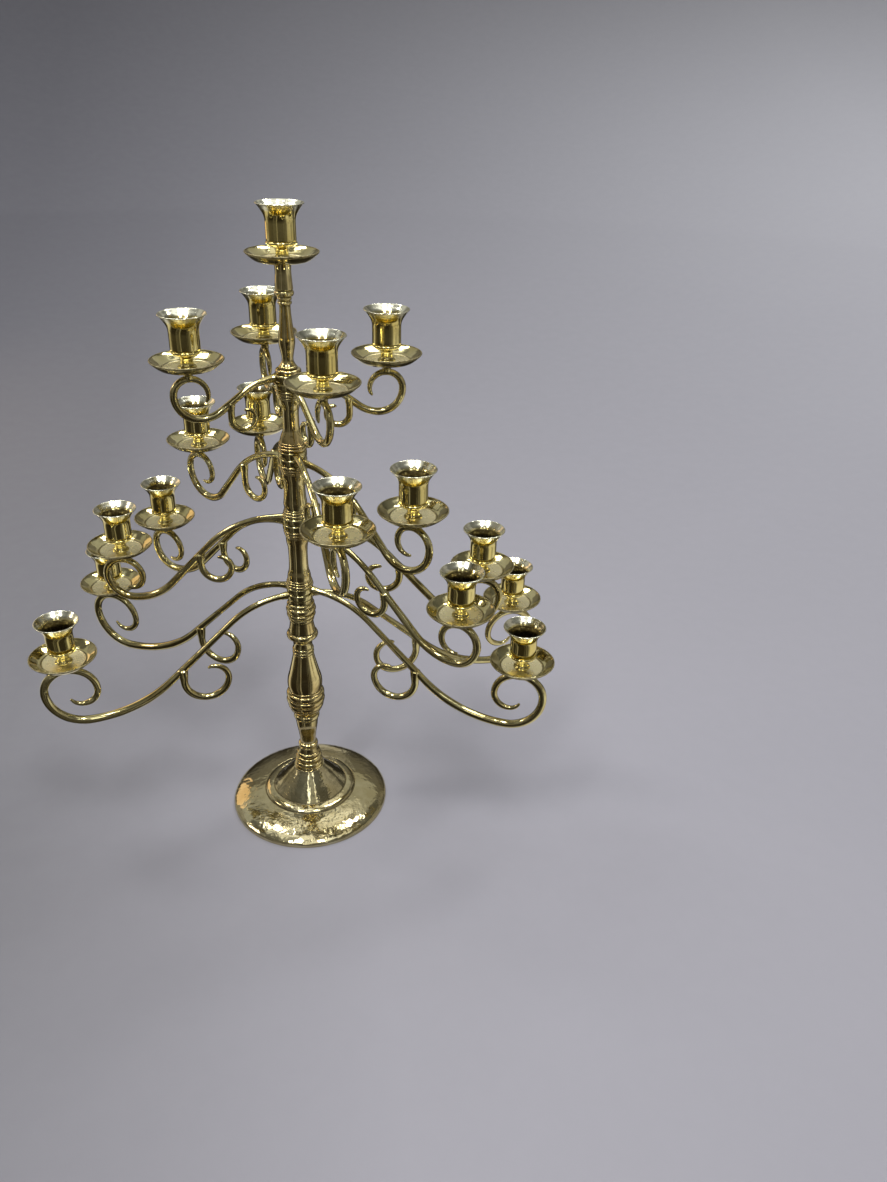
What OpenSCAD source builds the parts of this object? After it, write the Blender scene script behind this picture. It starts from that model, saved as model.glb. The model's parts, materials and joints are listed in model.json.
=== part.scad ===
// Tabletop candelabra of polished brass: a turned stem on a domed foot, four tiers of
// two-armed brackets that swing on a tie rod, and a candle cup in a drip pan on every
// arm and on top of the stem. Millimetres, +Z up, origin on the axis under the foot.

/* [Foot] */
// Radius of the foot
foot_r = 84; // [80:1:95]
// Height of the foot
foot_h = 45; // [42:1:50]
// Outer radius of the moulding round the foot's cone
moulding_r = 48.5; // [47:0.5:50]
// Wall thickness of the foot
foot_wall = 3; // [2.5:0.25:3.5]

/* [Stem] */
// Radius of the tie rod
rod_r = 4; // [3.5:0.25:4]
// Radius of the hub rings and of the column ends beside them
hub_r = 13; // [12.5:0.25:14]
// Widest radius of the lower baluster
bulb_r = 18; // [17:0.5:20]
// Radius at the waist of the lower, middle and upper column
waist_r = [9.2, 10, 7.4]; // [7:0.1:10.5]
// Height of the underside of the top pan
top_seat_z = 573.5; // [568:0.5:580]

/* [Cup and pan] */
// Radius of the drip pans
pan_r = 31; // [30:0.5:31]
// Height of the drip pans
pan_h = 8; // [7.5:0.25:9]
// Thickness of the drip pans
pan_t = 1.2; // [1:0.1:1.5]
// Radius of the candle bore in the cups
candle_r = 11.25; // [11:0.05:11.5]
// Radius of the cups' flared rims
rim_r = 20; // [19:0.5:20.5]
// Height of the cups' rims over the underside of the pans
rim_h = 45; // [44:0.5:47]

/* [Brackets] */
// Height of one hub ring
ring_h = 6.6; // [6.2:0.1:6.8]
// Rod diameter of the arms where they leave the ring
root_d = 6; // [5.5:0.25:6.25]
// Height of the boss between each scroll and its pan
boss_h = 6; // [5:0.5:7]
// How much higher the upper ring carries its pans than the lower ring
pan_step = 3.5; // [0:0.5:4]

/* [Tier 1, the top tier] */
// Height of the middle of the two hub rings
hub_z1 = 473; // [471:0.5:474]
// Mean height of the pans' rims
pan_z1 = 498; // [496:0.5:500]
// Distance of the pans from the stem's axis
reach1 = 85.5; // [84:0.5:88]
// Rod diameter of the arms
arm_d1 = 6.5; // [6:0.25:7]
// Bearings of the two arms on the upper ring
upper1 = [195, 353]; // [0:1:360]
// Bearings of the two arms on the lower ring
lower1 = [104, 288]; // [0:1:360]

/* [Tier 2] */
// Height of the middle of the two hub rings
hub_z2 = 403; // [401:0.5:405]
// Mean height of the pans' rims
pan_z2 = 389; // [387:0.5:391]
// Distance of the pans from the stem's axis
reach2 = 135; // [134:0.5:138]
// Rod diameter of the arms
arm_d2 = 7; // [6.5:0.25:7]
// Bearings of the two arms on the upper ring
upper2 = [104, 284]; // [0:1:360]
// Bearings of the two arms on the lower ring
lower2 = [133, 317]; // [0:1:360]

/* [Tier 3] */
// Height of the middle of the two hub rings
hub_z3 = 337; // [335:0.5:339]
// Mean height of the pans' rims
pan_z3 = 298.5; // [297:0.5:300]
// Distance of the pans from the stem's axis
reach3 = 178; // [177:0.5:181]
// Rod diameter of the arms
arm_d3 = 7.5; // [7:0.25:7.5]
// Bearings of the two arms on the upper ring
upper3 = [165, 349]; // [0:1:360]
// Bearings of the two arms on the lower ring
lower3 = [140, 322]; // [0:1:360]

/* [Tier 4, the lowest tier] */
// Height of the middle of the two hub rings
hub_z4 = 262; // [261:0.5:264]
// Mean height of the pans' rims
pan_z4 = 225.5; // [224:0.5:227]
// Distance of the pans from the stem's axis
reach4 = 226; // [225:0.5:230]
// Rod diameter of the arms
arm_d4 = 8; // [7.5:0.25:8]
// Bearings of the two arms on the upper ring
upper4 = [152, 335]; // [0:1:360]
// Bearings of the two arms on the lower ring
lower4 = [188, 8]; // [0:1:360]

/* [Hidden] */
$fn = 48;
// One value per tier from here on, the top tier first.
hub_z = [hub_z1, hub_z2, hub_z3, hub_z4];
pan_z = [pan_z1, pan_z2, pan_z3, pan_z4];
reach = [reach1, reach2, reach3, reach4];
arm_d = [arm_d1, arm_d2, arm_d3, arm_d4];
// Bearings of each tier's arms: first the upper ring's pair, then the lower ring's.
bearing = [[upper1, lower1], [upper2, lower2], [upper3, lower3], [upper4, lower4]];
// Radius of the bend out of the hub and of the long sweep up into the scroll.
root_bend = [57, 94, 108, 91];
sweep_bend = [29, 27.5, 56, 118];
// Radii of the scroll's quarter turns, from its lowest point on, and its whole turn.
scroll = [[22, 14, 15, 9], [26, 17.5, 16.5, 11.5, 8.5], [24, 18, 18.5, 13, 10], [37, 23, 25, 15, 12]];
scroll_turn = [320, 390, 390, 430];
// Where the underside scroll branches off, its straight drop and its first radius.
branch_at = [52.5, 69, 98, 120];
branch_drop = [13.5, 18, 11, 14];
branch_r = [10.5, 14, 15.5, 22];

// The two rings of a tier, 0 the upper and 1 the lower, are half a pitch over and under
// the middle of the hub.
ring_gap = 0.4;
ring_pitch = ring_h + ring_gap;
stack_gap = 0.3;
hub_half = ring_pitch/2 + ring_h/2 + stack_gap;
run_gap = 0.05;
// Thickness of the collars on the arms' rods, and how far they stand proud.
collar_h = 1.6;
collar_step = 0.25;
// Every arm starts in the middle of the ring's wall.
arm_start = 8;
floor_r = 21;
cup_r = candle_r + 1.25;
cup_floor = rim_h - 26;
peg_r = 2.5;
peg_depth = 5.5;
nut_h = 6.5;
washer_t = 1.5;
collar_top = foot_h + 31;
baluster_top = 198;
rod_bottom = 24;
rod_top = hub_z1 + hub_half + 7;

TIERS = [1, 2, 3, 4];
RINGS = ["upper", "lower"];
SIDES = ["left", "right"];
STEM = ["foot", "tie_rod", "foot_washer", "foot_nut", "foot_collar", "lower_baluster",
    "stem_vase", "lower_column", "middle_column", "upper_column", "top_baluster",
    "top_pan", "top_cup"];

function bracket_name(t, ring) = str("tier", t, "_", ring, "_bracket");
function pan_name(t, ring, side) = str("tier", t, "_", ring, "_", side, "_pan");
function cup_name(t, ring, side) = str("tier", t, "_", ring, "_", side, "_cup");

// Smooth curve through points [radius, height], n steps from each point to the next.
function between(a, b, c, d, u) =
    0.5*(2*b + (c - a)*u + (2*a - 5*b + 4*c - d)*u*u + (3*b - a - 3*c + d)*u*u*u);
function curve(p, n = 5) = concat(
    [for (i = [0:len(p) - 2]) for (k = [0:n - 1])
        between(p[max(i - 1, 0)], p[i], p[i + 1], p[min(i + 2, len(p) - 1)], k/n)],
    [p[len(p) - 1]]);
// Half-round bead of a turned outline, from height z0 to z1, standing out from radius r.
function bead(r, z0, z1, out) =
    [for (a = [-90:22.5:90]) [r + out*cos(a), (z0 + z1)/2 + (z1 - z0)/2*sin(a)]];
// Points of a turned outline moved up by z.
function raised(p, z) = [for (q = p) [q[0], q[1] + z]];

// Solid of revolution under an outline, with a bore along its whole length.
module turned(outline, bore_r) {
    last = len(outline) - 1;
    rotate_extrude()
        polygon(concat([[bore_r, outline[0][1]]], outline, [[bore_r, outline[last][1]]]));
}

module foot() {
    flange = [[foot_r, 0], [foot_r, 3], [foot_r - 2, 5.3], [foot_r - 8, 8.3],
        [foot_r - 18, 12], [moulding_r + 7.5, 14.2], [moulding_r + 0.8, 15.2]];
    moulding = [[moulding_r, 15.3], [moulding_r - 1.5, 17.1], [moulding_r - 5, 18.8],
        [moulding_r - 8.6, 19.5]];
    cone = [[moulding_r - 9.6, 19.5], [moulding_r - 10.5, 20.5], [28, 31.5], [20, 40.3],
        [16.6, 43.8], [16, foot_h]];
    hollow = [[foot_r - foot_wall, -1], [foot_r - foot_wall, 2], [foot_r - 18, 12 - foot_wall],
        [52, 12], [44, 13], [38, 15.5], [30, 24.5], [22, 33], [18.5, foot_h - 9.4],
        [13, foot_h - 9]];
    color("darkkhaki")
        difference() {
            turned(concat(curve(flange), [[moulding_r + 0.4, 14.8]], curve(moulding),
                [[moulding_r - 9.1, 19.1]], curve(cone)), rod_r + run_gap);
            rotate_extrude()
                polygon(concat([[0, -1]], curve(hollow), [[0, foot_h - 9]]));
        }
}

module tie_rod() {
    color("silver")
        translate([0, 0, rod_bottom])
            cylinder(h = rod_top - rod_bottom, r = rod_r);
}

module foot_washer() {
    color("silver")
        translate([0, 0, foot_h - 9 - washer_t])
            difference() {
                cylinder(h = washer_t, r = 11);
                translate([0, 0, -1])
                    cylinder(h = washer_t + 2, r = rod_r + run_gap);
            }
}

module foot_nut() {
    color("silver")
        translate([0, 0, foot_h - 9 - washer_t - nut_h])
            difference() {
                cylinder(h = nut_h, r = 7.5, $fn = 6);
                translate([0, 0, -1])
                    cylinder(h = nut_h + 2, r = rod_r + run_gap);
            }
}

module foot_collar() {
    outline = concat([[14.9, 0], [14, 2]], bead(13.4, 2.3, 7.3, 1.6), bead(12.7, 7.8, 13.2, 1.4),
        bead(11.2, 13.8, 18.6, 1.4), curve([[11, 19], [9.9, 22], [9.8, 25.4]]),
        bead(9.2, 25.8, 30.3, 1.3), [[8.5, 31]]);
    color("darkkhaki")
        turned(raised(outline, foot_h), rod_r + run_gap);
}

module lower_baluster() {
    start = collar_top;
    taper = [[8.4, start], [8.5, 80], [9.6, 90], [11.6, 102], [12, 108]];
    bulb = [[bulb_r - 0.3, 147], [bulb_r, 154], [bulb_r - 2.4, 167], [12.6, 180],
        [10.8, 187], [10, 190.5]];
    color("darkkhaki")
        turned(concat(curve(taper), bead(12, 109, 114, 1.6),
            curve([[12.6, 115], [15, 119], [bulb_r - 1.2, 124]]),
            bead(bulb_r - 0.5, 125, 130, 1.2), bead(bulb_r + 0.4, 130.5, 137, 1.6),
            bead(bulb_r + 0.2, 137.5, 143.5, 1.6), bead(bulb_r - 0.6, 143.8, 146.6, 0.8),
            curve(bulb), bead(9.8, 191.5, 196, 1.4), [[9.6, baluster_top]]),
            rod_r + run_gap);
}

module stem_vase() {
    top = hub_z[3] - hub_half;
    color("darkkhaki")
        turned(concat(
            curve([[9.8, baluster_top], [9.6, 202], [11, 206], [13.5, 209]]),
            bead(14, 210, 215.5, 1.8),
            curve([[13.6, 216.5], [12.8, 222], [11.6, 229]]),
            bead(11.6, 230, 234, 1.4), bead(12.4, 234.5, 239.5, 1.8),
            bead(12.8, 240, 246, 2), bead(12.4, 246.5, 251, 1.4), [[hub_r - 1, top]]),
            rod_r + run_gap);
}

// Waisted column between two hubs, with fine rings turned at both ends.
module column(z0, z1, waist) {
    end_r = hub_r - 0.8;
    mid = (z0 + z1)/2;
    lower_half = concat(bead(end_r - 0.2, z0, z0 + 3, 0.8), bead(end_r - 1, z0 + 3.3, z0 + 5.6, 0.8));
    upper_half = concat(bead(end_r - 1, z1 - 5.6, z1 - 3.3, 0.8), bead(end_r - 0.2, z1 - 3, z1, 0.8));
    turned(concat(lower_half,
        curve([[end_r - 1.2, z0 + 6], [(end_r + waist)/2 - 0.4, z0 + 11], [waist + 0.3, z0 + 18],
            [waist, mid], [waist + 0.3, z1 - 18], [(end_r + waist)/2 - 0.4, z1 - 11],
            [end_r - 1.2, z1 - 6]]),
        upper_half), rod_r + run_gap);
}

// Column over the given tier, up to the hub of the tier above it.
module tier_column(tier, waist) {
    color("darkkhaki")
        column(hub_z[tier - 1] + hub_half, hub_z[tier - 2] - hub_half, waist);
}

module lower_column() {
    tier_column(4, waist_r[0]);
}

module middle_column() {
    tier_column(3, waist_r[1]);
}

module upper_column() {
    tier_column(2, waist_r[2]);
}

module top_baluster() {
    start = hub_z[0] + hub_half;
    outline = concat(bead(hub_r - 3, start, start + 4, 1.5),
        curve([[8.5, start + 4.5], [5.8, start + 8], [5, start + 13], [6, start + 18],
            [7.2, start + 28], [6.4, start + 36], [5.2, start + 46], [4.7, start + 57]]),
        bead(4.8, start + 59, start + 62, 1.2), bead(5, start + 62.5, start + 65.5, 1.2),
        bead(6.4, start + 66, start + 70.5, 1.8),
        curve([[7.6, start + 71.5], [7.2, start + 78], [6.6, start + 85],
            [7.6, top_seat_z]]));
    color("darkkhaki")
        difference() {
            turned(outline, 0);
            translate([0, 0, start - 1])
                cylinder(h = rod_top - start + 1.3, r = rod_r + run_gap);
            translate([0, 0, top_seat_z - peg_depth - 0.5])
                cylinder(h = peg_depth + 1.5, r = peg_r + run_gap);
        }
}

// Drip pan with its underside at height 0.
module pan() {
    upper = curve([[floor_r, pan_t], [floor_r + 2, pan_t + 0.5], [pan_r - 4, pan_h - 3],
        [pan_r - 0.8, pan_h]]);
    lower = curve([[pan_r, pan_h - 0.6], [pan_r - 2.8, pan_h - 4.2], [floor_r + 3, 0.4],
        [floor_r, 0]]);
    color("khaki")
        rotate_extrude()
            polygon(concat([[peg_r + run_gap, pan_t]], upper, lower, [[peg_r + run_gap, 0]]));
}

// Candle cup that stands in a pan whose underside is at height 0.
module cup() {
    neck = curve([[8.2, pan_t], [7.6, pan_t + 0.9], [5.6, pan_t + 3], [5.3, 6.5], [6.1, 9.2],
        [8.8, 11], [cup_r - 1.1, 12], [cup_r - 0.4, 13]], 4);
    flare = curve([[cup_r, rim_h - 14], [cup_r + 0.3, rim_h - 11.8], [cup_r + 1.2, rim_h - 9.2],
        [cup_r + 2.8, rim_h - 6.4], [cup_r + 4.9, rim_h - 3.4], [rim_r, rim_h]], 3);
    inside = curve([[rim_r - 1, rim_h], [cup_r + 3.3, rim_h - 3.8], [cup_r + 1.5, rim_h - 6.4],
        [candle_r + 0.6, rim_h - 9.6], [candle_r, rim_h - 13]], 3);
    color("goldenrod")
        rotate_extrude()
            polygon(concat([[0, pan_t - peg_depth - 1], [peg_r, pan_t - peg_depth - 1], [peg_r, pan_t]],
                neck, bead(cup_r - 0.2, 13.2, 15.6, 0.8), flare, inside,
                [[candle_r, cup_floor + 1], [candle_r - 1, cup_floor], [0, cup_floor]]));
}

// Part of a turn of round rod in the XZ plane, anticlockwise about centre from angle a0.
module bend(centre, radius, a0, turn, d) {
    translate([centre[0], 0, centre[1]])
        rotate([90, 0, 0])
            rotate([0, 0, a0])
                rotate_extrude(angle = turn)
                    translate([radius, 0])
                        circle(d = d);
}

// Centre of a spiral's quarter turn number i, when the first one is about centre.
function turn_centre(centre, radii, a0, i) = i == 0 ? centre :
    turn_centre(centre, radii, a0, i - 1)
        + (radii[i - 1] - radii[i])*[cos(a0 + 90*i), sin(a0 + 90*i)];

// Thin collar that joins two stretches of rod at a point of the XZ plane, across a rod
// that runs at the given angle there.
module collar(point, angle, d) {
    translate([point[0], 0, point[1]])
        rotate([0, 90 - angle, 0])
            cylinder(h = collar_h, d = d + 2*collar_step, center = true);
}

// Rod that winds in by quarter turns.
module spiral(centre, radii, a0, whole, d, d_end) {
    last = ceil(whole/90) - 1;
    for (i = [0:last]) {
        middle = turn_centre(centre, radii, a0, i);
        turn = min(90, whole - 90*i);
        turn_d = d + (d_end - d)*i/last;
        end = a0 + 90*i + turn;
        bend(middle, radii[i], a0 + 90*i, turn, turn_d);
        collar(middle + radii[i]*[cos(end), sin(end)], end + 90, turn_d);
    }
}

// The arm's outline in the plane of its bearing, from the middle of its ring. The bend out
// of the ring and the long sweep share a straight tangent that falls at fall(t, ring).
function ring_z(t, ring) = hub_z[t] + (0.5 - ring)*ring_pitch;
function seat(t, ring) = pan_z[t] - pan_h + (0.5 - ring)*pan_step - ring_z(t, ring);
function low(t, ring) = [reach[t] - scroll[t][0] + scroll[t][1],
    seat(t, ring) - boss_h - arm_d[t]/2 - scroll[t][0] - scroll[t][1]];
function bends(t) = root_bend[t] + sweep_bend[t];
function across(t, ring) = [low(t, ring)[0] - arm_start, bends(t) + low(t, ring)[1]];
function straight(t, ring) = sqrt(pow(norm(across(t, ring)), 2) - pow(bends(t), 2));
function fall(t, ring) =
    atan2(across(t, ring)[0], across(t, ring)[1]) - atan2(straight(t, ring), bends(t));
function bend_end(t, ring) =
    [arm_start, 0] + root_bend[t]*[sin(fall(t, ring)), cos(fall(t, ring)) - 1];
function arm_height(t, ring, r) = r < bend_end(t, ring)[0]
    ? sqrt(pow(root_bend[t], 2) - pow(r - arm_start, 2)) - root_bend[t]
    : bend_end(t, ring)[1] - (r - bend_end(t, ring)[0])*tan(fall(t, ring));

module arm(t, ring) {
    d = arm_d[t];
    slope = fall(t, ring);
    length = straight(t, ring);
    slope_start = bend_end(t, ring);
    lowest = low(t, ring);
    bend([arm_start, -root_bend[t]], root_bend[t], 90 - slope, slope, root_d);
    collar(slope_start, -slope, root_d);
    translate([slope_start[0], 0, slope_start[1]])
        rotate([0, 90 + slope, 0])
            cylinder(h = length, d1 = root_d, d2 = d);
    collar(slope_start + length*[cos(slope), -sin(slope)], -slope, d);
    bend(lowest + [0, sweep_bend[t]], sweep_bend[t], 270 - slope, slope, d);
    collar(lowest, 0, d);
    spiral(lowest + [0, scroll[t][0]], scroll[t], 270, scroll_turn[t], d, 0.55*d);
    branch(t, ring);
    boss(t, ring);
}

// Scroll under the arm that curls back towards the stem.
module branch(t, ring) {
    r = branch_r[t];
    d = 0.85*arm_d[t];
    z = arm_height(t, ring, branch_at[t]) - branch_drop[t];
    translate([branch_at[t], 0, z])
        cylinder(h = branch_drop[t], d = d);
    collar([branch_at[t], z], 90, d);
    translate([0, 0, z])
        mirror([0, 0, 1])
            spiral([branch_at[t] - r, 0], [r, 0.98*r, 0.65*r, 0.4*r], 0, 310, d, 0.5*d);
}

// Spool between the top of the scroll and the pan.
module boss(t, ring) {
    top = seat(t, ring);
    translate([reach[t], 0, 0])
        turned(curve([[3.9, top - boss_h - arm_d[t]/2], [3.9, top - boss_h + 0.5],
            [3.7, top - boss_h/2], [5.6, top]]), 0);
}

// Ring that turns on the tie rod, with an arm to each side.
module bracket(t, ring) {
    color("darkkhaki")
        translate([0, 0, ring_z(t, ring)])
            difference() {
                union() {
                    rotate_extrude()
                        polygon(concat([[2, -ring_h/2]], bead(hub_r - 2, -ring_h/2, ring_h/2, 2),
                            [[2, ring_h/2]]));
                    for (side = [0, 1])
                        rotate([0, 0, bearing[t][ring][side]])
                            arm(t, ring);
                }
                translate([0, 0, -ring_h])
                    cylinder(h = 2*ring_h, r = rod_r + run_gap);
                for (side = [0, 1])
                    rotate([0, 0, bearing[t][ring][side]])
                        translate([reach[t], 0, seat(t, ring) - peg_depth - 0.5])
                            cylinder(h = peg_depth + 1.5, r = peg_r + run_gap);
            }
}

// Puts a pan or a cup on the end of an arm.
module on_arm(t, ring, side) {
    rotate([0, 0, bearing[t][ring][side]])
        translate([reach[t], 0, ring_z(t, ring) + seat(t, ring)])
            children();
}

module top_pan() {
    translate([0, 0, top_seat_z])
        pan();
}

module top_cup() {
    translate([0, 0, top_seat_z])
        cup();
}

foot();
tie_rod();
foot_washer();
foot_nut();
foot_collar();
lower_baluster();
stem_vase();
lower_column();
middle_column();
upper_column();
top_baluster();
top_pan();
top_cup();
for (t = [0:3]) for (ring = [0, 1]) {
    bracket(t, ring);
    for (side = [0, 1]) {
        on_arm(t, ring, side) pan();
        on_arm(t, ring, side) cup();
    }
}
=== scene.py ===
import json
import math

import bmesh
import bpy
import numpy as np
from mathutils import Matrix, Vector


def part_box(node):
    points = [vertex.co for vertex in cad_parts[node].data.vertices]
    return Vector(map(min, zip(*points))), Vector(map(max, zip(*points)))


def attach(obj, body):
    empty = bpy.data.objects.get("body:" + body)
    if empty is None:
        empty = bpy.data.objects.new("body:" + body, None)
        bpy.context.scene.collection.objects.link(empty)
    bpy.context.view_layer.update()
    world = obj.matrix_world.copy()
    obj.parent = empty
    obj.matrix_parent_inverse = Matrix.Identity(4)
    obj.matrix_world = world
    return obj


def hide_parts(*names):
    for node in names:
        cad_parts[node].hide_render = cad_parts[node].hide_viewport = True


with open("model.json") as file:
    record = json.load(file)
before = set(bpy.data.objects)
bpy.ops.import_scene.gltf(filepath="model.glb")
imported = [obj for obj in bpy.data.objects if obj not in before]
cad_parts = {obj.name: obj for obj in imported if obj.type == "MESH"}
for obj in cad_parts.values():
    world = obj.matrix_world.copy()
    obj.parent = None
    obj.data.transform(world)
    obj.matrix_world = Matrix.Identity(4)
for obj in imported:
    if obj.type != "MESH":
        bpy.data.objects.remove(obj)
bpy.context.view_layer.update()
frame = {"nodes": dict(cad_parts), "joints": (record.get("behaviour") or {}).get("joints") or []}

# Shapes are worked out in millimetres, and MM turns them into the metres of the scene.
MM = 0.001
TIERS = (1, 2, 3, 4)
RINGS = ("upper", "lower")
SIDES = ("left", "right")
# Points round a turned piece, and round the floor.
SEGMENTS = 96
FLOOR_SEGMENTS = 128
# Edges over this angle in degrees stay sharp on turned pieces and on castings.
TURNED_SHARP = 50
CAST_SHARP = 42
# Radii of the tie rod's hole, of a cup's peg and its hole, and of the hole for the candle.
ROD_HOLE = 4.05
PEG_R = 2.5
PEG_HOLE = 2.55
CANDLE_HOLE = 11.25


# ---------------------------------------------------------------- outlines

def curve(points, step=0.9):
    """Smooth curve through points (radius, height), with a point about every step."""
    out = []
    for i in range(len(points) - 1):
        a, b = np.array(points[max(i - 1, 0)]), np.array(points[i])
        c, d = np.array(points[i + 1]), np.array(points[min(i + 2, len(points) - 1)])
        count = max(2, math.ceil(np.linalg.norm(c - b) / step))
        for k in range(count):
            u = k / count
            out.append(0.5 * (2 * b + (c - a) * u + (2 * a - 5 * b + 4 * c - d) * u * u
                              + (3 * b - a - 3 * c + d) * u ** 3))
    out.append(np.array(points[-1], float))
    return [tuple(map(float, p)) for p in out]


def bead(radius, low, high, out, count=10):
    """Half-round bead from height low to high, standing out from radius."""
    return [(radius + out * math.cos(a), (low + high) / 2 + (high - low) / 2 * math.sin(a))
            for a in np.linspace(-math.pi / 2, math.pi / 2, count + 1)]


def lip(radius, height, wide, high, start, end, count):
    """Rounded edge about a point, from one angle to another in radians."""
    return [(radius + wide * math.cos(a), height + high * math.sin(a))
            for a in np.linspace(start, end, count)]


def raised(points, height):
    return [(r, z + height) for r, z in points]


def eased(points, size=0.22):
    """The outline with its sharp corners rounded off."""
    out = [points[0]]
    for before, here, after in zip(points, points[1:], points[2:]):
        p, q, n = np.array(here), np.array(before), np.array(after)
        u, v = q - p, n - p
        lu, lv = np.linalg.norm(u), np.linalg.norm(v)
        if lu < 1e-6 or lv < 1e-6:
            continue
        nearly_straight = np.dot(u, v) / (lu * lv) < -0.93
        if nearly_straight:
            out.append(here)
            continue
        a, b = p + u / lu * min(size, lu / 2.2), p + v / lv * min(size, lv / 2.2)
        for t in (0, 0.33, 0.67, 1):
            out.append(tuple(map(float, (1 - t) ** 2 * a + 2 * t * (1 - t) * p + t * t * b)))
    out.append(points[-1])
    return out


# ---------------------------------------------------------------- meshes

def lengths(points):
    """How far along a line each of its points lies."""
    return np.concatenate([[0], np.cumsum(np.linalg.norm(np.diff(points, axis=0), axis=1))])


# Brass is painted darker by the depth of a groove, partly as tarnished oxide and partly as painted
# shade.
def creases(outline, reach=2.0, deep=0.30):
    """How far each point of an outline lies in a groove, from 0 to 1. It is measured from the
    middle of the outline within reach, and 1 means deep or deeper."""
    p = np.array(outline)
    s = lengths(p)
    out = []
    for i in range(len(p)):
        near = np.abs(s - s[i]) < reach
        tangent = p[min(i + 1, len(p) - 1)] - p[max(i - 1, 0)]
        length = np.linalg.norm(tangent)
        if length < 1e-9:
            out.append(0.0)
            continue
        outward = np.array([tangent[1], -tangent[0]]) / length
        depth = np.dot(p[near].mean(axis=0) - p[i], outward)
        out.append(float(np.clip(depth / deep, 0, 1)))
    return out


def make(name, vertices, faces, attributes=()):
    """Mesh object from vertices in millimetres, with a number for each vertex per attribute."""
    mesh = bpy.data.meshes.new(name)
    mesh.from_pydata([tuple(float(c) * MM for c in v) for v in vertices], [], faces)
    for key, values in attributes:
        mesh.attributes.new(key, "FLOAT", "POINT").data.foreach_set("value", values)
    finish_mesh(mesh, TURNED_SHARP)
    return placed(name, mesh)


def placed(name, data):
    """Object in the scene that shows a mesh, a light or a camera."""
    obj = bpy.data.objects.new(name, data)
    bpy.context.scene.collection.objects.link(obj)
    return obj


def finish_mesh(mesh, sharp):
    """Normals that point outwards, smooth shading and sharp edges over an angle in degrees."""
    work = bmesh.new()
    work.from_mesh(mesh)
    bmesh.ops.recalc_face_normals(work, faces=work.faces)
    work.to_mesh(mesh)
    work.free()
    mesh.shade_smooth()
    mesh.set_sharp_from_angle(angle=math.radians(sharp))
    mesh.update()


def band_faces(pairs, segments):
    """Faces between pairs of rows of vertices. A row that is a single point gives triangles."""
    faces = []
    for low, high in pairs:
        for k in range(segments):
            ring = (low[k], low[(k + 1) % segments], high[(k + 1) % segments], high[k])
            face = [v for i, v in enumerate(ring) if v not in ring[:i]]
            if len(face) > 2:
                faces.append(face)
    return faces


def lathe(name, outline, closed=False, centre=(0, 0, 0), segments=SEGMENTS, wave=None, painted_shade=None,
          wear_and_sheen=None):
    """Solid of revolution. An outline that isn't closed runs from the axis to the axis.
    wave(angle, radius) moves a point up by that many millimetres. The next function, of radius and
    height, gives how dark the metal is painted with painted shade, and the last, also of radius and
    height, how pale it is, with wear and with a painted highlight."""
    tarnish_and_shade = creases(outline)
    # Painted shade of the bore and neck, laid over the groove depth.
    if painted_shade:
        tarnish_and_shade = [max(painted_shade(r, z), c) for (r, z), c in zip(outline, tarnish_and_shade)]
    pale = [wear_and_sheen(r, z) if wear_and_sheen else 0.0 for r, z in outline]
    vertices, rows, grooves, marks, paled = [], [], [], [], []
    for (r, z), c, p, along in zip(outline, tarnish_and_shade, pale, lengths(outline)):
        count = 1 if r < 1e-6 else segments
        rows.append([len(vertices) + k % count for k in range(segments)])
        for k in range(count):
            a = 2 * math.pi * k / segments
            lift = wave(a, r) if wave else 0
            vertices.append((centre[0] + r * math.cos(a), centre[1] + r * math.sin(a),
                             centre[2] + z + lift))
            grooves.append(c)
            marks.append(float(along))
            paled.append(p)
    pairs = list(zip(rows, rows[1:])) + ([(rows[-1], rows[0])] if closed else [])
    return make(name, vertices, band_faces(pairs, segments),
                [("tarnish_and_shade", grooves), ("marks", marks), ("wear_and_sheen", paled)])


def section(angle):
    """Point at an angle on the cast rod's cross-section, a circle filed to eight soft facets."""
    r = 1 - 0.022 * (1 + math.cos(8 * angle))
    return (r * math.cos(angle), r * math.sin(angle))


def rod(name, path, sides=32):
    """Cast rod along a path in the XZ plane, a little uneven in thickness and with blunt ends.
    Each stop of the path is (x, z, direction, radius)."""
    vertices, faces, marks = [], [], []
    along = 0
    for i, (x, z, direction, radius) in enumerate(path):
        if i:
            along += math.hypot(x - path[i - 1][0], z - path[i - 1][1])
        nx, nz = -math.sin(direction), math.cos(direction)
        uneven = 1 + 0.012 * math.sin(along / 4.1) + 0.010 * math.sin(along / 9.7 + 1)
        for k in range(sides):
            side, up = section(2 * math.pi * k / sides)
            side, up = side * radius * uneven * 0.97, up * radius * uneven
            vertices.append((x + up * nx, side, z + up * nz))
            marks.append(along)
    for i in range(len(path) - 1):
        for k in range(sides):
            a, b = i * sides + k, i * sides + (k + 1) % sides
            faces.append((a, b, b + sides, a + sides))
    last = len(vertices) - sides
    for (x, z, direction, radius), first, ahead in ((path[0], 0, -0.7), (path[-1], last, 0.7)):
        tip = len(vertices)
        vertices.append((x + ahead * radius * math.cos(direction), 0,
                         z + ahead * radius * math.sin(direction)))
        marks.append(along if ahead > 0 else 0)
        faces += [(first + k, first + (k + 1) % sides, tip) for k in range(sides)]
    return make(name, vertices, faces, [("marks", marks)])


def joined(name, parts):
    """One closed mesh from parts that overlap."""
    base = parts[0]
    for part in parts[1:]:
        union = base.modifiers.new("union", "BOOLEAN")
        union.operation = "UNION"
        union.solver = "MANIFOLD"
        union.object = part
    bpy.context.view_layer.update()
    evaluated = base.evaluated_get(bpy.context.evaluated_depsgraph_get())
    mesh = bpy.data.meshes.new_from_object(evaluated)
    for part in parts:
        bpy.data.objects.remove(part)
    mesh.name = name
    finish_mesh(mesh, CAST_SHARP)
    return placed(name, mesh)


# ---------------------------------------------------------------- materials

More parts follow.
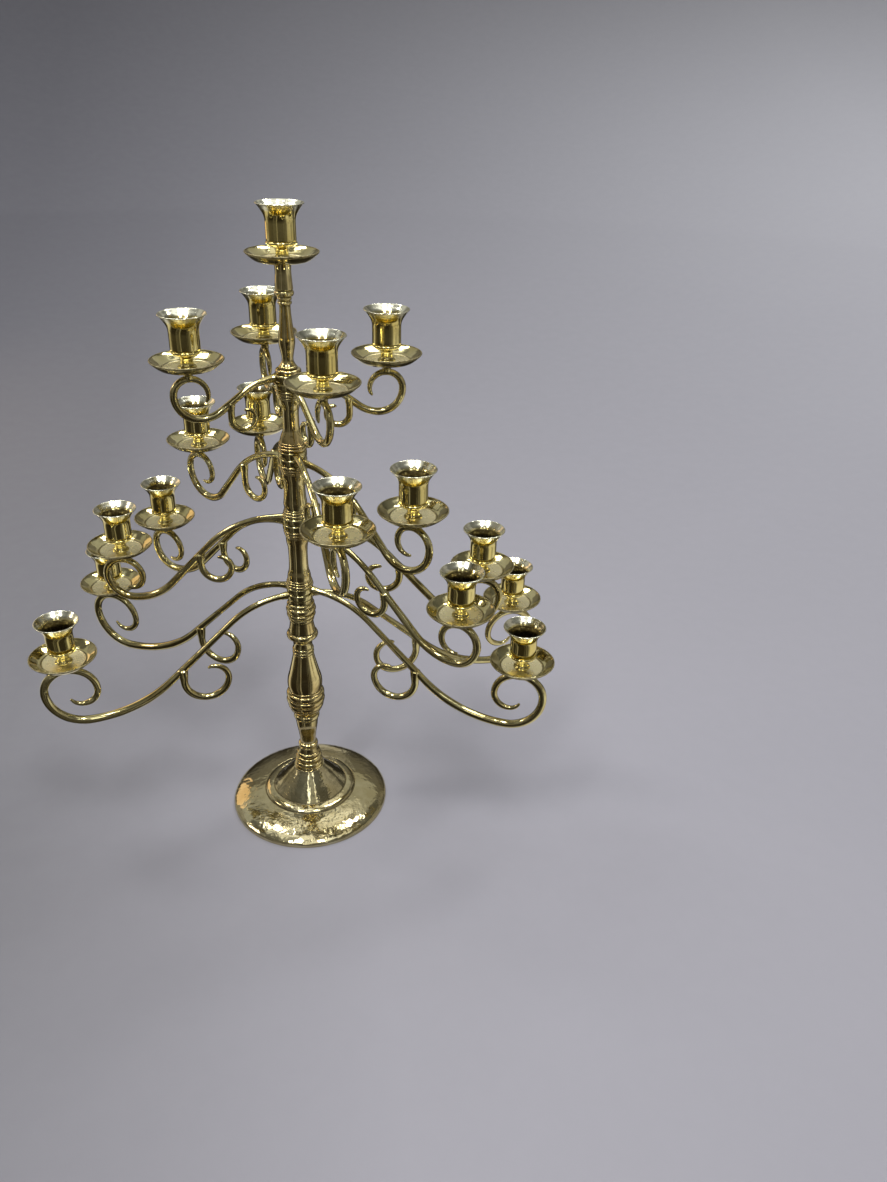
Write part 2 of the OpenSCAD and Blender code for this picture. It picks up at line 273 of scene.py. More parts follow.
def new_material(name):
    """Material, its node tree, its shader and the place on the object as a vector."""
    material = bpy.data.materials.new(name)
    material.use_nodes = True
    tree = material.node_tree
    where = tree.nodes.new("ShaderNodeTexCoord").outputs["Object"]
    return material, tree, tree.nodes["Principled BSDF"], where


def link(tree, source, target):
    tree.links.new(source, target)


def attribute(tree, name):
    node = tree.nodes.new("ShaderNodeAttribute")
    node.attribute_name = name
    return node.outputs["Fac"]


def along_axis(tree, vector, axis):
    node = tree.nodes.new("ShaderNodeSeparateXYZ")
    link(tree, vector, node.inputs[0])
    return node.outputs[axis]


def vector_math(tree, operation, vector):
    node = tree.nodes.new("ShaderNodeVectorMath")
    node.operation = operation
    link(tree, vector, node.inputs[0])
    return node


def noise(tree, coordinate, scale, detail=3.0, roughness=0.5):
    node = tree.nodes.new("ShaderNodeTexNoise")
    node.inputs["Scale"].default_value = scale
    node.inputs["Detail"].default_value = detail
    node.inputs["Roughness"].default_value = roughness
    link(tree, coordinate, node.inputs["Vector"])
    return node.outputs["Fac"]


def ranged(tree, value, low, high, to_low=0, to_high=1):
    node = tree.nodes.new("ShaderNodeMapRange")
    numbers = (low, high, to_low, to_high)
    for key, number in zip(("From Min", "From Max", "To Min", "To Max"), numbers):
        node.inputs[key].default_value = number
    link(tree, value, node.inputs["Value"])
    return node.outputs["Result"]


def math_node(tree, operation, a, b):
    node = tree.nodes.new("ShaderNodeMath")
    node.operation = operation
    for socket, value in zip(node.inputs, (a, b)):
        if isinstance(value, (int, float)):
            socket.default_value = value
        else:
            link(tree, value, socket)
    return node.outputs[0]


def mixed(tree, factor, a, b):
    node = tree.nodes.new("ShaderNodeMix")
    node.data_type = "RGBA"
    link(tree, factor, node.inputs["Factor"])
    for socket, value in (("A", a), ("B", b)):
        target = [i for i in node.inputs if i.name == socket and i.type == "RGBA"][0]
        if isinstance(value, tuple):
            target.default_value = (*value, 1)
        else:
            link(tree, value, target)
    return [o for o in node.outputs if o.type == "RGBA"][0]


def bump(tree, shader, heights):
    """Chains bumps, each a pair of height and depth in metres."""
    normal = None
    for height, depth in heights:
        node = tree.nodes.new("ShaderNodeBump")
        node.inputs["Strength"].default_value = 1.0
        node.inputs["Distance"].default_value = depth
        link(tree, height, node.inputs["Height"])
        if normal:
            link(tree, normal, node.inputs["Normal"])
        normal = node.outputs["Normal"]
    link(tree, normal, shader.inputs["Normal"])


def brass(name, light, warm, tarnish_shade_colour, polish, ripple, turned=True, dull=0.0,
          pale=(0.80, 0.79, 0.64)):
    """Polished brass: the tones light and warm in soft patches, darker in creases with tarnished
    oxide and painted shade, painted shade where other surfaces close in around it, smears of wax
    and fingers, fine marks of turning or of the file, and the ripple of worked metal. polish is its
    least roughness and ripple the depth of its waves in metres.
    Where a piece has wear, and along rims as a painted highlight, it is pale, and rougher by dull."""
    material, tree, shader, where = new_material(name)
    shader.inputs["Metallic"].default_value = 1.0
    tone = mixed(tree, ranged(tree, noise(tree, where, 38, 4), 0.38, 0.64), light, warm)
    # Pale where there is wear, and along rims as a painted highlight.
    wear_and_sheen = attribute(tree, "wear_and_sheen")
    tone = mixed(tree, wear_and_sheen, tone, pale)
    stretched = tree.nodes.new("ShaderNodeCombineXYZ")
    link(tree, attribute(tree, "marks"), stretched.inputs["X"])
    fine = noise(tree, stretched.outputs[0], 2.6 if turned else 0.8, 6, 0.7)
    tone = mixed(tree, ranged(tree, fine, 0.48, 0.68, 0, 0.28), tone, warm)
    # Painted shade: ambient occlusion darkens the colour where other surfaces close in around it.
    corner = tree.nodes.new("ShaderNodeAmbientOcclusion")
    corner.samples = 6
    corner.only_local = True
    corner.inputs["Distance"].default_value = 0.004
    occlusion_shade = ranged(tree, corner.outputs["AO"], 0.25, 0.8, 0.85, 0)
    # The dark mask is partly tarnished oxide in creases and partly painted shade in grooves, cup
    # bores, necks and closed-in places.
    tarnish_shade_mask = math_node(tree, "MAXIMUM", attribute(tree, "tarnish_and_shade"), occlusion_shade)
    speckle = ranged(tree, noise(tree, where, 420, 5, 0.65), 0.35, 0.7, 0.45, 1)
    tarnish_shade_mask = math_node(tree, "MINIMUM", math_node(tree, "MULTIPLY", tarnish_shade_mask, speckle), 1.0)
    link(tree, mixed(tree, tarnish_shade_mask, tone, tarnish_shade_colour), shader.inputs["Base Color"])
    smears = ranged(tree, noise(tree, where, 90, 6, 0.6), 0.44, 0.74, 0, 0.10)
    rough = math_node(tree, "ADD", smears, math_node(tree, "MULTIPLY", tarnish_shade_mask, 0.3))
    rough = math_node(tree, "ADD", rough, polish)
    rough = math_node(tree, "ADD", rough, math_node(tree, "MULTIPLY", wear_and_sheen, dull))
    link(tree, rough, shader.inputs["Roughness"])
    bump(tree, shader, [
        (noise(tree, where, 55, 2), ripple * 3),
        (noise(tree, where, 190, 2), ripple),
        (fine, 0.000012 if turned else 0.00002),
    ])
    return material


def steel(name):
    """Plain steel with patches of grime and a fine grain."""
    material, tree, shader, where = new_material(name)
    shader.inputs["Metallic"].default_value = 1.0
    grime = ranged(tree, noise(tree, where, 160, 6, 0.6), 0.4, 0.66)
    tone = mixed(tree, grime, (0.42, 0.41, 0.40), (0.20, 0.16, 0.12))
    link(tree, tone, shader.inputs["Base Color"])
    link(tree, ranged(tree, grime, 0, 1, 0.3, 0.6), shader.inputs["Roughness"])
    bump(tree, shader, [(noise(tree, where, 900, 4), 0.00003)])
    return material


def floor_material():
    """Grey paper with painted light: painted shade darkens it to the left and painted light
    brightens it far off to the right, with the slight clouding of uneven light.
    """
    material, tree, shader, where = new_material("floor_paper")
    cloud = ranged(tree, noise(tree, where, 1.6, 2), 0.3, 0.7, -0.06, 0.06)
    outer = ranged(tree, vector_math(tree, "LENGTH", where).outputs["Value"], 0.3, 2.6)
    across = along_axis(tree, where, "X")
    # Painted shade on the left of the paper and painted light far off to its right.
    near = mixed(tree, ranged(tree, across, -0.36, 0.06),
                 (0.120, 0.119, 0.134), (0.208, 0.204, 0.232))
    far = mixed(tree, ranged(tree, across, -0.7, 1.8),
                (0.108, 0.107, 0.126), (0.270, 0.268, 0.295))
    shade = math_node(tree, "ADD", outer, cloud)
    link(tree, mixed(tree, shade, near, far), shader.inputs["Base Color"])
    rough = ranged(tree, noise(tree, where, 40, 3), 0.3, 0.7, 0.75, 0.85)
    link(tree, rough, shader.inputs["Roughness"])
    bump(tree, shader, [(noise(tree, where, 600, 4), 0.00004)])
    return material


# The darkest colour of each brass is for tarnished oxide in creases and for painted shade.
FOOT_BRASS = brass("brass_foot", light=(0.62, 0.56, 0.35), warm=(0.48, 0.41, 0.22),
                   tarnish_shade_colour=(0.09, 0.07, 0.03), polish=0.06, ripple=0.0003)
STEM_BRASS = brass("brass_stem", light=(0.74, 0.65, 0.34), warm=(0.56, 0.44, 0.20),
                   tarnish_shade_colour=(0.05, 0.037, 0.012), polish=0.05, ripple=0.00003)
ARM_BRASS = brass("brass_arms", light=(0.66, 0.60, 0.32), warm=(0.48, 0.40, 0.18),
                  tarnish_shade_colour=(0.06, 0.045, 0.015), polish=0.09, ripple=0.00016, turned=False)
PAN_BRASS = brass("brass_pans", light=(0.64, 0.58, 0.32), warm=(0.46, 0.39, 0.17),
                  tarnish_shade_colour=(0.08, 0.06, 0.02), polish=0.07, ripple=0.00012, dull=0.19,
                  pale=(0.92, 0.83, 0.51))
CUP_BRASS = brass("brass_cups", light=(0.80, 0.70, 0.31), warm=(0.66, 0.54, 0.19),
                  tarnish_shade_colour=(0.06, 0.045, 0.018), polish=0.05, ripple=0.00005, dull=0.12)
STEEL = steel("steel_plain")


def dress(piece, material, body, slot, *nodes):
    """Gives a piece its material, its body and the CAD nodes that it stands for."""
    piece.data.materials.clear()
    piece.data.materials.append(material)
    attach(piece, body)
    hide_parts(*nodes)


# ---------------------------------------------------------------- camera, floor and light

def rotation(yaw, pitch, roll):
    """Camera turned to the right by yaw, down by pitch and rolled, in degrees."""
    y, p, r = map(math.radians, (yaw, pitch, roll))
    forward = Vector((math.sin(y) * math.cos(p), math.cos(y) * math.cos(p), -math.sin(p)))
    right = forward.cross(Vector((0, 0, 1))).normalized()
    up = right.cross(forward)
    across = math.cos(r) * right + math.sin(r) * up
    upward = -math.sin(r) * right + math.cos(r) * up
    return Matrix((across, upward, -forward)).transposed()


def camera():
    data = bpy.data.cameras.new("camera")
    data.sensor_width = 36
    data.lens = 28.29
    data.clip_start = 0.02
    data.clip_end = 50
    obj = placed("camera", data)
    turned = rotation(yaw=10.07, pitch=29.41, roll=1.90)
    obj.matrix_world = Matrix.Translation((0, -0.8087, 0.7157)) @ turned.to_4x4()
    bpy.context.scene.camera = obj


def paper(r):
    """Height of the paper floor at a distance from the stem. It is flat out to 500 mm."""
    return 1170 * max(0, (r - 500) / 3200) ** 2.2


def floor():
    """Round floor of paper that sweeps up on every side."""
    outline = [(0, 0)] + [(r, paper(r)) for r in range(150, 3750, 75)]
    points, rows = [], []
    for r, z in outline:
        count = 1 if r == 0 else FLOOR_SEGMENTS
        rows.append([len(points) + k % count for k in range(FLOOR_SEGMENTS)])
        for k in range(count):
            a = 2 * math.pi * k / FLOOR_SEGMENTS
            points.append((r * math.cos(a), r * math.sin(a), z))
    obj = make("floor", points, band_faces(zip(rows, rows[1:]), FLOOR_SEGMENTS))
    obj.data.flip_normals()
    obj.data.materials.append(floor_material())


def area_light(name, place, aim, width, height, power, colour, shows=True):
    """Square-cornered light, which polished metal mirrors if it shows."""
    data = bpy.data.lights.new(name, "AREA")
    data.shape = "RECTANGLE"
    data.size, data.size_y = width, height
    data.energy = power
    data.color = colour
    obj = placed(name, data)
    obj.location = place
    obj.rotation_euler = (Vector(aim) - Vector(place)).to_track_quat("-Z", "Y").to_euler()
    obj.visible_glossy = shows


def lights():
    white, cool, warm, orange = (1, 1, 0.98), (0.97, 0.99, 1), (1, 0.90, 0.78), (1, 0.70, 0.42)
    area_light("ceiling_left", (-0.62, -0.90, 2.2), (0, 0, 0.3), 0.22, 0.9, 13, white)
    area_light("ceiling_right", (0.30, -1.00, 2.25), (0, 0, 0.3), 0.22, 0.9, 13, white)
    area_light("ceiling_fill", (-0.16, -0.95, 2.2), (0, 0, 0.3), 1.2, 0.9, 26, white, shows=False)
    area_light("ceiling_far_left", (-0.95, 0.55, 2.3), (0, 0, 0.3), 0.30, 0.7, 12, white)
    area_light("ceiling_far_right", (0.95, 0.45, 2.3), (0, 0, 0.3), 0.30, 0.7, 12, white)
    area_light("ceiling_back", (1.5, 1.6, 2.4), (0.9, 0.3, 0), 2.4, 1.0, 50, cool, shows=False)
    area_light("window_left", (-2.3, 0.2, 1.3), (0, 0, 0.3), 0.5, 0.9, 12, warm)
    area_light("window_front_left", (-0.35, -2.2, 2.1), (0, 0, 0.1), 0.34, 0.8, 2.2, white)
    area_light("window_front_right", (0.75, -2.1, 1.95), (0, 0, 0.1), 0.14, 0.7, 1.0, white)
    area_light("warm_wall", (-0.95, 1.14, 0.60), (0, 0, 0), 0.60, 0.60, 1.3, orange)


def surroundings():
    """What polished metal sees high up: a dark room that lightens upwards, with pale patches
    on its walls and bright panes in its ceiling."""
    world = bpy.data.worlds.new("studio")
    world.use_nodes = True
    tree = world.node_tree
    direction = tree.nodes.new("ShaderNodeTexCoord").outputs["Generated"]
    height = along_axis(tree, direction, "Z")
    behind = math_node(tree, "MULTIPLY", ranged(tree, along_axis(tree, direction, "Y"), -0.1, 0.4),
                       ranged(tree, height, 0.10, 0.35, 0, 0.10))
    cloud = math_node(tree, "ADD", noise(tree, direction, 2.0, 3, 0.55), behind)
    wall = mixed(tree, ranged(tree, height, 0.25, 0.70), (0.014, 0.013, 0.010), (0.17, 0.17, 0.16))
    colour = mixed(tree, ranged(tree, cloud, 0.53, 0.63), wall, (0.50, 0.50, 0.47))
    panes = ranged(tree, noise(tree, direction, 5.0, 2, 0.5), 0.44, 0.50)
    ceiling = math_node(tree, "MULTIPLY", ranged(tree, height, 0.79, 0.87), panes)
    colour = mixed(tree, ceiling, colour, (1.45, 1.45, 1.42))
    link(tree, colour, tree.nodes["Background"].inputs["Color"])
    tree.nodes["Background"].inputs["Strength"].default_value = 1.0
    bpy.context.scene.world = world
    bpy.context.scene.view_settings.view_transform = "Standard"


def only_reflected(obj):
    """The studio piece shows in polished metal, and neither lights nor shades anything else."""
    obj.visible_camera = False
    obj.visible_diffuse = False
    obj.visible_shadow = False


def room():
    """What polished metal sees low down: a dark room with streaks of light, as a flat ring
    just over the paper and a wall round it."""
    outline = [(r, paper(r) + 3) for r in range(96, 2300, 84)] + [(2320, 1500)]
    rows = len(outline)
    points, faces = [], []
    for k in range(SEGMENTS):
        a = 2 * math.pi * k / SEGMENTS
        points += [(r * math.cos(a), r * math.sin(a), z) for r, z in outline]
        here, there = rows * k, rows * ((k + 1) % SEGMENTS)
        faces += [(here + i, here + i + 1, there + i + 1, there + i) for i in range(rows - 1)]
    obj = make("dark_floor", points, faces)
    material, tree, shader, where = new_material("dark_floor")
    level = vector_math(tree, "MULTIPLY", where)
    level.inputs[1].default_value = (1, 1, 0)
    outward = vector_math(tree, "NORMALIZE", level.outputs[0]).outputs[0]
    streaks = ranged(tree, noise(tree, outward, 1.5, 2, 0.5), 0.48, 0.57)
    blots = ranged(tree, noise(tree, where, 2.4, 3), 0.36, 0.56, 0.35, 1)
    height = along_axis(tree, where, "Z")
    haze = mixed(tree, ranged(tree, height, 0.05, 0.9), (0.012, 0.010, 0.007), (0.20, 0.19, 0.17))
    lit = math_node(tree, "MULTIPLY", streaks, blots)
    link(tree, mixed(tree, lit, haze, (0.42, 0.40, 0.36)), shader.inputs["Base Color"])
    shader.inputs["Roughness"].default_value = 0.9
    shader.inputs["Specular IOR Level"].default_value = 0.1
    obj.data.materials.append(material)
    only_reflected(obj)


# ---------------------------------------------------------------- foot and stem

def stem_piece(node, outline, closed=True, material=STEM_BRASS, slot="stem_brass", wave=None):
    """Turned or spun piece of the stem. The heights of its outline are counted from the lowest
    point of the CAD node."""
    low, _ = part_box(node)
    piece = lathe(node + ".turned", raised(eased(outline), low.z / MM), closed=closed, wave=wave)
    dress(piece, material, "stand", slot, node)


def bored(outline):
    """The outline of a piece with the tie rod's hole right through it."""
    return [(ROD_HOLE, outline[0][1])] + list(outline) + [(ROD_HOLE, outline[-1][1])]


def dented(angle, radius):
    """Slight unevenness of the spun foot, none at its rim's underside."""
    share = max(0.0, math.sin(math.pi * min(1, max(0, (radius - 22) / 60))))
    return share * (0.30 * math.sin(2 * angle + 0.6) + 0.16 * math.sin(3 * angle + 2)
                    + 0.07 * math.sin(7 * angle + radius / 9))


def foot():
    """Spun foot: a flared flange, a moulding between two lines, and a straight cone."""
    flange = curve([(84, 0), (84, 2), (83.2, 3.9), (80, 6.3), (74, 9.2), (66, 11.9), (57, 14.0),
                    (49.6, 15.2)])
    moulding = curve([(48.5, 15.4), (47.4, 16.8), (45.2, 18.1), (42.4, 19.0), (39.9, 19.5)], 0.6)
    cone = curve([(38.9, 19.5), (38.3, 20.2), (34, 24.9), (28, 31.5), (22, 38.1), (18.2, 42.2),
                  (16.4, 44.2), (16, 45)])
    under = curve([(13, 36), (18.5, 35.6), (22, 33), (30, 24.5), (38, 15.5), (44, 13), (52, 11.9),
                   (66, 8.8), (80.6, 2.4), (81, 0)])
    outline = flange + [(49.1, 14.8), (48.8, 14.8)] + moulding + [(39.5, 19.1), (39.2, 19.1)] + cone
    stem_piece("foot", outline + [(ROD_HOLE, 45), (ROD_HOLE, 36)] + under, material=FOOT_BRASS,
               slot="foot_brass", wave=dented)


def foot_collar():
    """Three fat rings, a hollow and a small ring."""
    outline = ([(14.9, 0), (14.3, 1.2), (14.0, 2.0)]
               + bead(13.4, 2.3, 7.3, 1.6) + bead(12.7, 7.8, 13.2, 1.4)
               + bead(11.2, 13.8, 18.6, 1.4)
               + curve([(11.0, 19.0), (10.1, 21.2), (9.7, 23.6), (9.8, 25.4)])
               + bead(9.2, 25.8, 30.3, 1.3) + [(8.7, 30.6), (8.5, 31)])
    stem_piece("foot_collar", bored(outline))


def lower_baluster():
    """Taper, stacked rings and the widest bulb."""
    outline = (curve([(8.3, 0), (8.45, 4), (9.4, 13), (11.0, 23), (11.9, 31.6)])
               + bead(12.0, 32.6, 38.2, 1.5) + [(12.4, 38.8)]
               + curve([(12.8, 39.4), (14.6, 42.2), (16.6, 45.6), (17.0, 47.6)])
               + bead(17.2, 48.4, 53.6, 1.3) + bead(18.2, 54.4, 60.4, 1.7)
               + bead(18.0, 61.2, 67.4, 1.7) + bead(17.0, 68.0, 71.0, 0.9)
               + curve([(17.2, 71.4), (18.0, 77), (17.4, 84), (15.6, 91), (13.2, 101), (11.4, 109),
                        (10.6, 113.6)])
               + bead(10.0, 114.0, 117.0, 1.0) + bead(9.7, 117.6, 121.0, 1.2) + [(9.6, 122)])
    stem_piece("lower_baluster", bored(outline))


def stem_vase():
    """Cup on a ring, a short taper and a stack of rings."""
    outline = (curve([(9.8, 0), (9.6, 3.6), (10.4, 6.8), (12.2, 9.6), (13.6, 11.2)])
               + bead(13.9, 11.8, 17.6, 1.9)
               + curve([(13.4, 18.2), (12.9, 21.6), (12.0, 27), (11.5, 31.2)])
               + bead(11.5, 31.8, 35.8, 1.3) + bead(12.4, 36.4, 41.2, 1.9)
               + bead(12.9, 41.8, 47.8, 1.9) + bead(12.3, 48.4, 52.6, 1.3)
               + [(12.0, 53.2), (12.2, 56.9)])
    stem_piece("stem_vase", bored(outline))


def column(node, waist, low_end, high_end):
    """Waisted column with fine rings at both ends, between two hubs."""
    low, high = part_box(node)
    tall = (high.z - low.z) / MM
    low_turn, high_turn = 0.45 * low_end + 0.55 * waist, 0.45 * high_end + 0.55 * waist
    below = (bead(low_end - 0.9, 0, 3.0, 0.9) + bead(low_end - 1.5, 3.3, 5.6, 0.8)
             + bead(low_end - 2.1, 5.9, 7.7, 0.6))
    above = (bead(high_end - 2.1, tall - 7.7, tall - 5.9, 0.6)
             + bead(high_end - 1.5, tall - 5.6, tall - 3.3, 0.8)
             + bead(high_end - 0.9, tall - 3.0, tall, 0.9))
    shaft = curve([(low_end - 1.9, 8.2), (low_turn, 12.5), (waist + 0.35, 19), (waist, tall * 0.5),
                   (waist + 0.3, tall - 19), (high_turn, tall - 12.5),
                   (high_end - 1.9, tall - 8.2)])
    stem_piece(node, bored(below + shaft + above))


def top_baluster():
    """Slender top section, with a blind hole for the rod below and one for the peg above."""
    outline = (bead(9.8, 0, 4.0, 1.5) + bead(7.4, 4.4, 6.4, 0.8)
               + curve([(7.2, 6.9), (5.6, 9.6), (5.0, 12.6), (5.6, 17), (6.8, 23), (7.3, 29),
                        (6.5, 36), (5.6, 44), (5.0, 51), (4.8, 57.6)])
               + bead(4.9, 58.2, 61.2, 1.2) + bead(5.2, 61.8, 64.6, 0.9)
               + bead(6.6, 65.2, 70.2, 1.7)
               + curve([(7.7, 70.8), (7.3, 77), (6.8, 84.5), (7.1, 89.4), (7.9, 92.4),
                        (8.3, 93.4)]))
    blind = [(0, outline[0][1] + 14), (ROD_HOLE, 14.0), (ROD_HOLE, 0)]
    stem_piece("top_baluster", blind + outline + [(PEG_HOLE, 93.4), (PEG_HOLE, 87.4), (0, 87.4)],
               closed=False)


# ---------------------------------------------------------------- cups and pans

CUP_H = 45
CUP_FLOOR = 19
FLARE_FROM = 32.4


def cup_shade(r, z):
    """How dark a cup is painted with painted shade: near black inside the bore, and lighter on the
    neck under the cup.
    """
    if z > CUP_FLOOR - 0.5:
        inside = CANDLE_HOLE + 0.01 + max(0, z - FLARE_FROM) * 0.41
        return 1.6 if r < inside else 0.0
    return 0.55 if r < 9 else 0.0


def cup(node, body):
    """Candle cup over the middle of its CAD node, with heights counted from the pan's underside.
    Its peg goes down through the pan."""
    low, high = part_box(node)
    seat = high.z / MM - CUP_H
    outline = ([(0, -5.2), (PEG_R, -5.2), (PEG_R, 1.2)]
               + curve([(8.0, 1.25), (7.6, 2.1), (6.3, 3.0), (5.5, 4.5), (5.3, 6.5), (5.6, 8.3),
                        (6.6, 9.8), (8.6, 10.9), (10.6, 11.7), (11.6, 12.6)], 0.6)
               + bead(12.2, 13.1, 15.5, 0.85, 10)
               + curve([(12.4, 15.9), (12.5, 17), (12.5, 24), (12.5, 30.4)], 1.4)
               + curve([(12.55, 31.2), (12.8, 33.2), (13.7, 35.8), (15.3, 38.6), (17.4, 41.6),
                        (19.3, 44.0)], 0.6)
               + lip(19.45, 44.45, 0.5, 0.52, -0.6, 2.6, 9)
               + curve([(18.5, 44.2), (17.2, 42.7), (15.8, 41.2), (14.5, 39.5), (13.9, 38.5)], 0.6)
               + curve([(13.6, 38.2), (12.9, 37.0), (11.9, 35.0), (CANDLE_HOLE, FLARE_FROM)], 0.6)
               + [(CANDLE_HOLE, 28), (CANDLE_HOLE, 20.4), (10.6, 19.2), (0, CUP_FLOOR)])
    # Pale from the inner flare up: wear, and a painted highlight along the rim.
    piece = lathe(node + ".turned", eased(outline, 0.16), centre=centre_of(low, high, seat),
                  segments=72, painted_shade=cup_shade, wear_and_sheen=lambda r, z: min(1, max(0, (z - 38.5) / 2.5)))
    dress(piece, CUP_BRASS, body, "cup_brass", node)


def pan(node, body):
    """Drip pan with a flat floor, a crisp step and a dished lip."""
    low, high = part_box(node)
    outline = ([(PEG_HOLE, 1.2), (11, 1.2), (19.4, 1.2)] + lip(20.3, 1.35, 0.55, 0.6, 2.9, 0.4, 7)
               + curve([(21.3, 1.35), (23.2, 2.2), (25.8, 4.0), (28.3, 5.9), (29.9, 7.4)], 0.7)
               + lip(30.2, 7.4, 0.6, 0.6, 2.2, -0.9, 9)
               + curve([(30.2, 6.4), (28, 4.4), (25.6, 2.4), (23.2, 0.8), (21.4, 0.15)], 0.7)
               + [(20.8, 0), (11, 0), (PEG_HOLE, 0)])
    # Pale on the floor with wear, and on the rim as a painted highlight.
    piece = lathe(node + ".spun", eased(outline, 0.14), closed=True,
                  centre=centre_of(low, high, low.z / MM), segments=84,
                  wear_and_sheen=lambda r, z: 1.0 if r < 20 or r > 29.9 else 0.0)
    dress(piece, PAN_BRASS, body, "pan_brass", node)


def centre_of(low, high, height):
    """Middle of a box from above, at a height in millimetres."""
    return ((low.x + high.x) / 2 / MM, (low.y + high.y) / 2 / MM, height)


# ---------------------------------------------------------------- brackets

# One value per tier, the top tier first, as in the CAD: the arm's thickness, its bends out of the
# ring and into the sweep, its end scroll, and where its branch leaves, drops to and curls.
ARM_D = (6.5, 7.0, 7.5, 8.0)
ROOT_BEND = (57, 94, 108, 91)
SWEEP_BEND = (29, 27.5, 56, 118)
SCROLL = ((22, 14, 15, 9), (26, 17.5, 16.5, 11.5, 8.5), (24, 18, 18.5, 13, 10),
          (37, 23, 25, 15, 12))
SCROLL_TURN = (320, 390, 390, 430)
BRANCH_AT = (52.5, 69, 98, 120)
BRANCH_DROP = (13.5, 18, 11, 14)
BRANCH_R = (10.5, 14, 15.5, 22)
ROOT_D = 6.0
BOSS_H = 6.0
ARM_START = 8.0
STEP = 1.5


def bend(centre, radius, start, turn):
    """Stops along an arc about centre from the angle start, in degrees."""
    count = max(3, math.ceil(radius * math.radians(abs(turn)) / STEP))
    out = []
    for k in range(count):
        a = math.radians(start + turn * k / count)
        out.append((centre[0] + radius * math.cos(a), centre[1] + radius * math.sin(a),
                    a + math.copysign(math.pi / 2, turn)))
    return out


def spiral(centre, radii, start, whole):
    """Stops along a spiral of quarter turns, each about its own centre."""
    out = []
    for i in range(math.ceil(whole / 90)):
        if i:
            a = math.radians(start + 90 * i)
            step = radii[i - 1] - radii[i]
            centre = (centre[0] + step * math.cos(a), centre[1] + step * math.sin(a))
        out += bend(centre, radii[i], start + 90 * i, min(90, whole - 90 * i))
    return out


def thickened(stops, radii):
    """Adds each stop's radius, from pairs of share of the length and radius."""
    s = lengths(np.array([stop[:2] for stop in stops]))
    values = np.interp(s / s[-1], [p[0] for p in radii], [p[1] for p in radii])
    return [(x, z, a, float(v)) for (x, z, a), v in zip(stops, values)]


def arm_path(t, reach, seat):
    """Stops along the arm: out of the ring, down, along the sweep and round the scroll. Also
    returns how many come before the scroll, and the arm's height at a distance from the stem."""
    d = ARM_D[t]
    low = (reach - SCROLL[t][0] + SCROLL[t][1], seat - BOSS_H - d / 2 - SCROLL[t][0] - SCROLL[t][1])
    bends = ROOT_BEND[t] + SWEEP_BEND[t]
    dx, dz = low[0] - ARM_START, bends + low[1]
    straight = math.sqrt(dx * dx + dz * dz - bends * bends)
    fall = math.atan2(dx, dz) - math.atan2(straight, bends)
    slope = math.degrees(fall)
    end = (ARM_START + ROOT_BEND[t] * math.sin(fall), ROOT_BEND[t] * (math.cos(fall) - 1))
    stops = bend((ARM_START, -ROOT_BEND[t]), ROOT_BEND[t], 90, -slope)
    count = math.ceil(straight / STEP)
    for k in range(count):
        along = straight * k / count
        stops.append((end[0] + along * math.cos(fall), end[1] - along * math.sin(fall), -fall))
    stops += bend((low[0], low[1] + SWEEP_BEND[t]), SWEEP_BEND[t], 270 - slope, slope)
    before = len(stops)
    stops += spiral((low[0], low[1] + SCROLL[t][0]), SCROLL[t], 270, SCROLL_TURN[t])

    def height(r):
        if r < end[0]:
            return math.sqrt(ROOT_BEND[t] ** 2 - (r - ARM_START) ** 2) - ROOT_BEND[t]
        return end[1] - (r - end[0]) * math.tan(fall)

    return stops, before, height


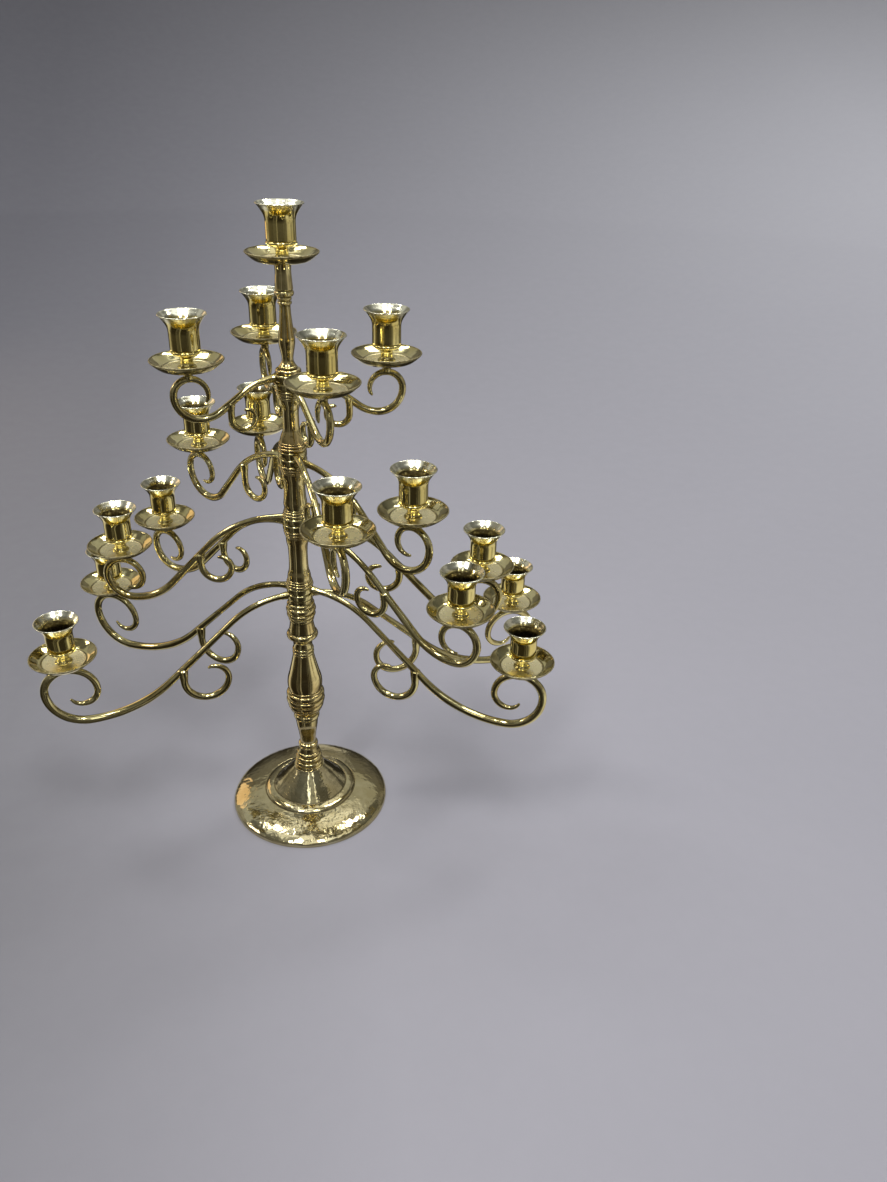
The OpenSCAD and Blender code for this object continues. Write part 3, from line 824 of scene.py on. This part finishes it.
def arm(name, t, reach, seat, bearing, height):
    """Parts of one arm, turned to its bearing and lifted to its ring's height."""
    d = ARM_D[t]
    stops, before, over = arm_path(t, reach, seat)
    s = lengths(np.array([stop[:2] for stop in stops]))
    whole = s[-1]
    scroll = s[before] / whole
    turned = 1 - scroll
    main = rod(name + "_main", thickened(stops, [
        (0, ROOT_D / 2 + 0.9), (6 / whole, ROOT_D / 2 + 0.8), (12 / whole, ROOT_D / 2 + 0.1),
        (0.2, ROOT_D / 2), (0.75 * scroll, d / 2), (scroll, d / 2 + 0.2),
        (scroll + 0.35 * turned, d / 2), (scroll + 0.6 * turned, d * 0.46),
        (scroll + 0.88 * turned, d * 0.38), (0.985, d * 0.26), (1, d * 0.16)]))
    x, r = BRANCH_AT[t], BRANCH_R[t]
    top, drop = over(x), BRANCH_DROP[t]
    curl = spiral((x - r, 0), (r, 0.98 * r, 0.65 * r, 0.4 * r), 0, 310)
    down = [(x, top - drop * k / 8, -math.pi / 2) for k in range(8)]
    down += [(cx, top - drop - cz, -a) for cx, cz, a in curl]
    branch = rod(name + "_branch", thickened(down, [
        (0, d * 0.64), (0.05, d * 0.58), (0.12, d * 0.47), (0.3, d * 0.46), (0.6, d * 0.44),
        (0.85, d * 0.38), (0.96, d * 0.27), (1, d * 0.16)]))
    rise = seat - BOSS_H
    boss = lathe(name + "_boss", eased(
        [(0, rise - d * 0.45), (3.7, rise - d * 0.45)]
        + curve([(3.9, rise - 0.6), (3.2, rise + 1.0), (3.1, rise + 2.0)], 0.5)
        + bead(3.4, rise + 2.3, rise + 4.2, 1.1, 8)
        + curve([(4.2, rise + 4.5), (5.4, rise + 5.3), (5.9, rise + 6.0)], 0.5)
        + [(PEG_HOLE, seat), (PEG_HOLE, seat - 5.6), (0, seat - 5.6)]),
        centre=(reach, 0, 0), segments=40)
    parts = [main, branch, boss]
    place = Matrix.Translation((0, 0, height * MM)) @ Matrix.Rotation(bearing, 4, "Z")
    for part in parts:
        part.data.transform(place)
    return parts


def bracket(t, body):
    """Hub ring with its two arms, as one casting. t counts the tiers from 0."""
    node = body + "_bracket"
    joint = [j for j in frame["joints"] if j["child"] == body][0]
    height = joint["pos_m"][2] / MM
    edge = curve([(12.0, -3.25), (12.7, -2.6), (13.0, -1.4), (13.0, 0), (13.0, 1.4), (12.7, 2.6),
                  (12.0, 3.25)], 0.5)
    ring = [(ROD_HOLE, -3.3), (11.8, -3.3)] + edge + [(11.8, 3.3), (ROD_HOLE, 3.3)]
    hub = lathe(node + "_hub", ring, closed=True, centre=(0, 0, height), segments=64)
    parts = [hub]
    for side in SIDES:
        low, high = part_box(f"{body}_{side}_pan")
        x, y, seat = centre_of(low, high, low.z / MM)
        parts += arm(f"{node}_{side}", t, math.hypot(x, y), seat - height, math.atan2(y, x), height)
    dress(joined(node + ".cast", parts), ARM_BRASS, body, "bracket_brass", node)


# ---------------------------------------------------------------- the whole

camera()
floor()
lights()
surroundings()
room()

foot()
foot_collar()
lower_baluster()
stem_vase()
column("lower_column", 9.2, 13.4, 12.6)
column("middle_column", 10.0, 12.4, 13.4)
column("upper_column", 7.4, 13.2, 12.8)
top_baluster()
pan("top_pan", "stand")
cup("top_cup", "stand")
for tier in TIERS:
    for ring_name in RINGS:
        body_name = f"tier{tier}_{ring_name}"
        bracket(tier - 1, body_name)
        for side_name in SIDES:
            pan(f"{body_name}_{side_name}_pan", body_name)
            cup(f"{body_name}_{side_name}_cup", body_name)

for plain in ("tie_rod", "foot_washer", "foot_nut"):
    frame["nodes"][plain].data.materials.clear()
    frame["nodes"][plain].data.materials.append(STEEL)
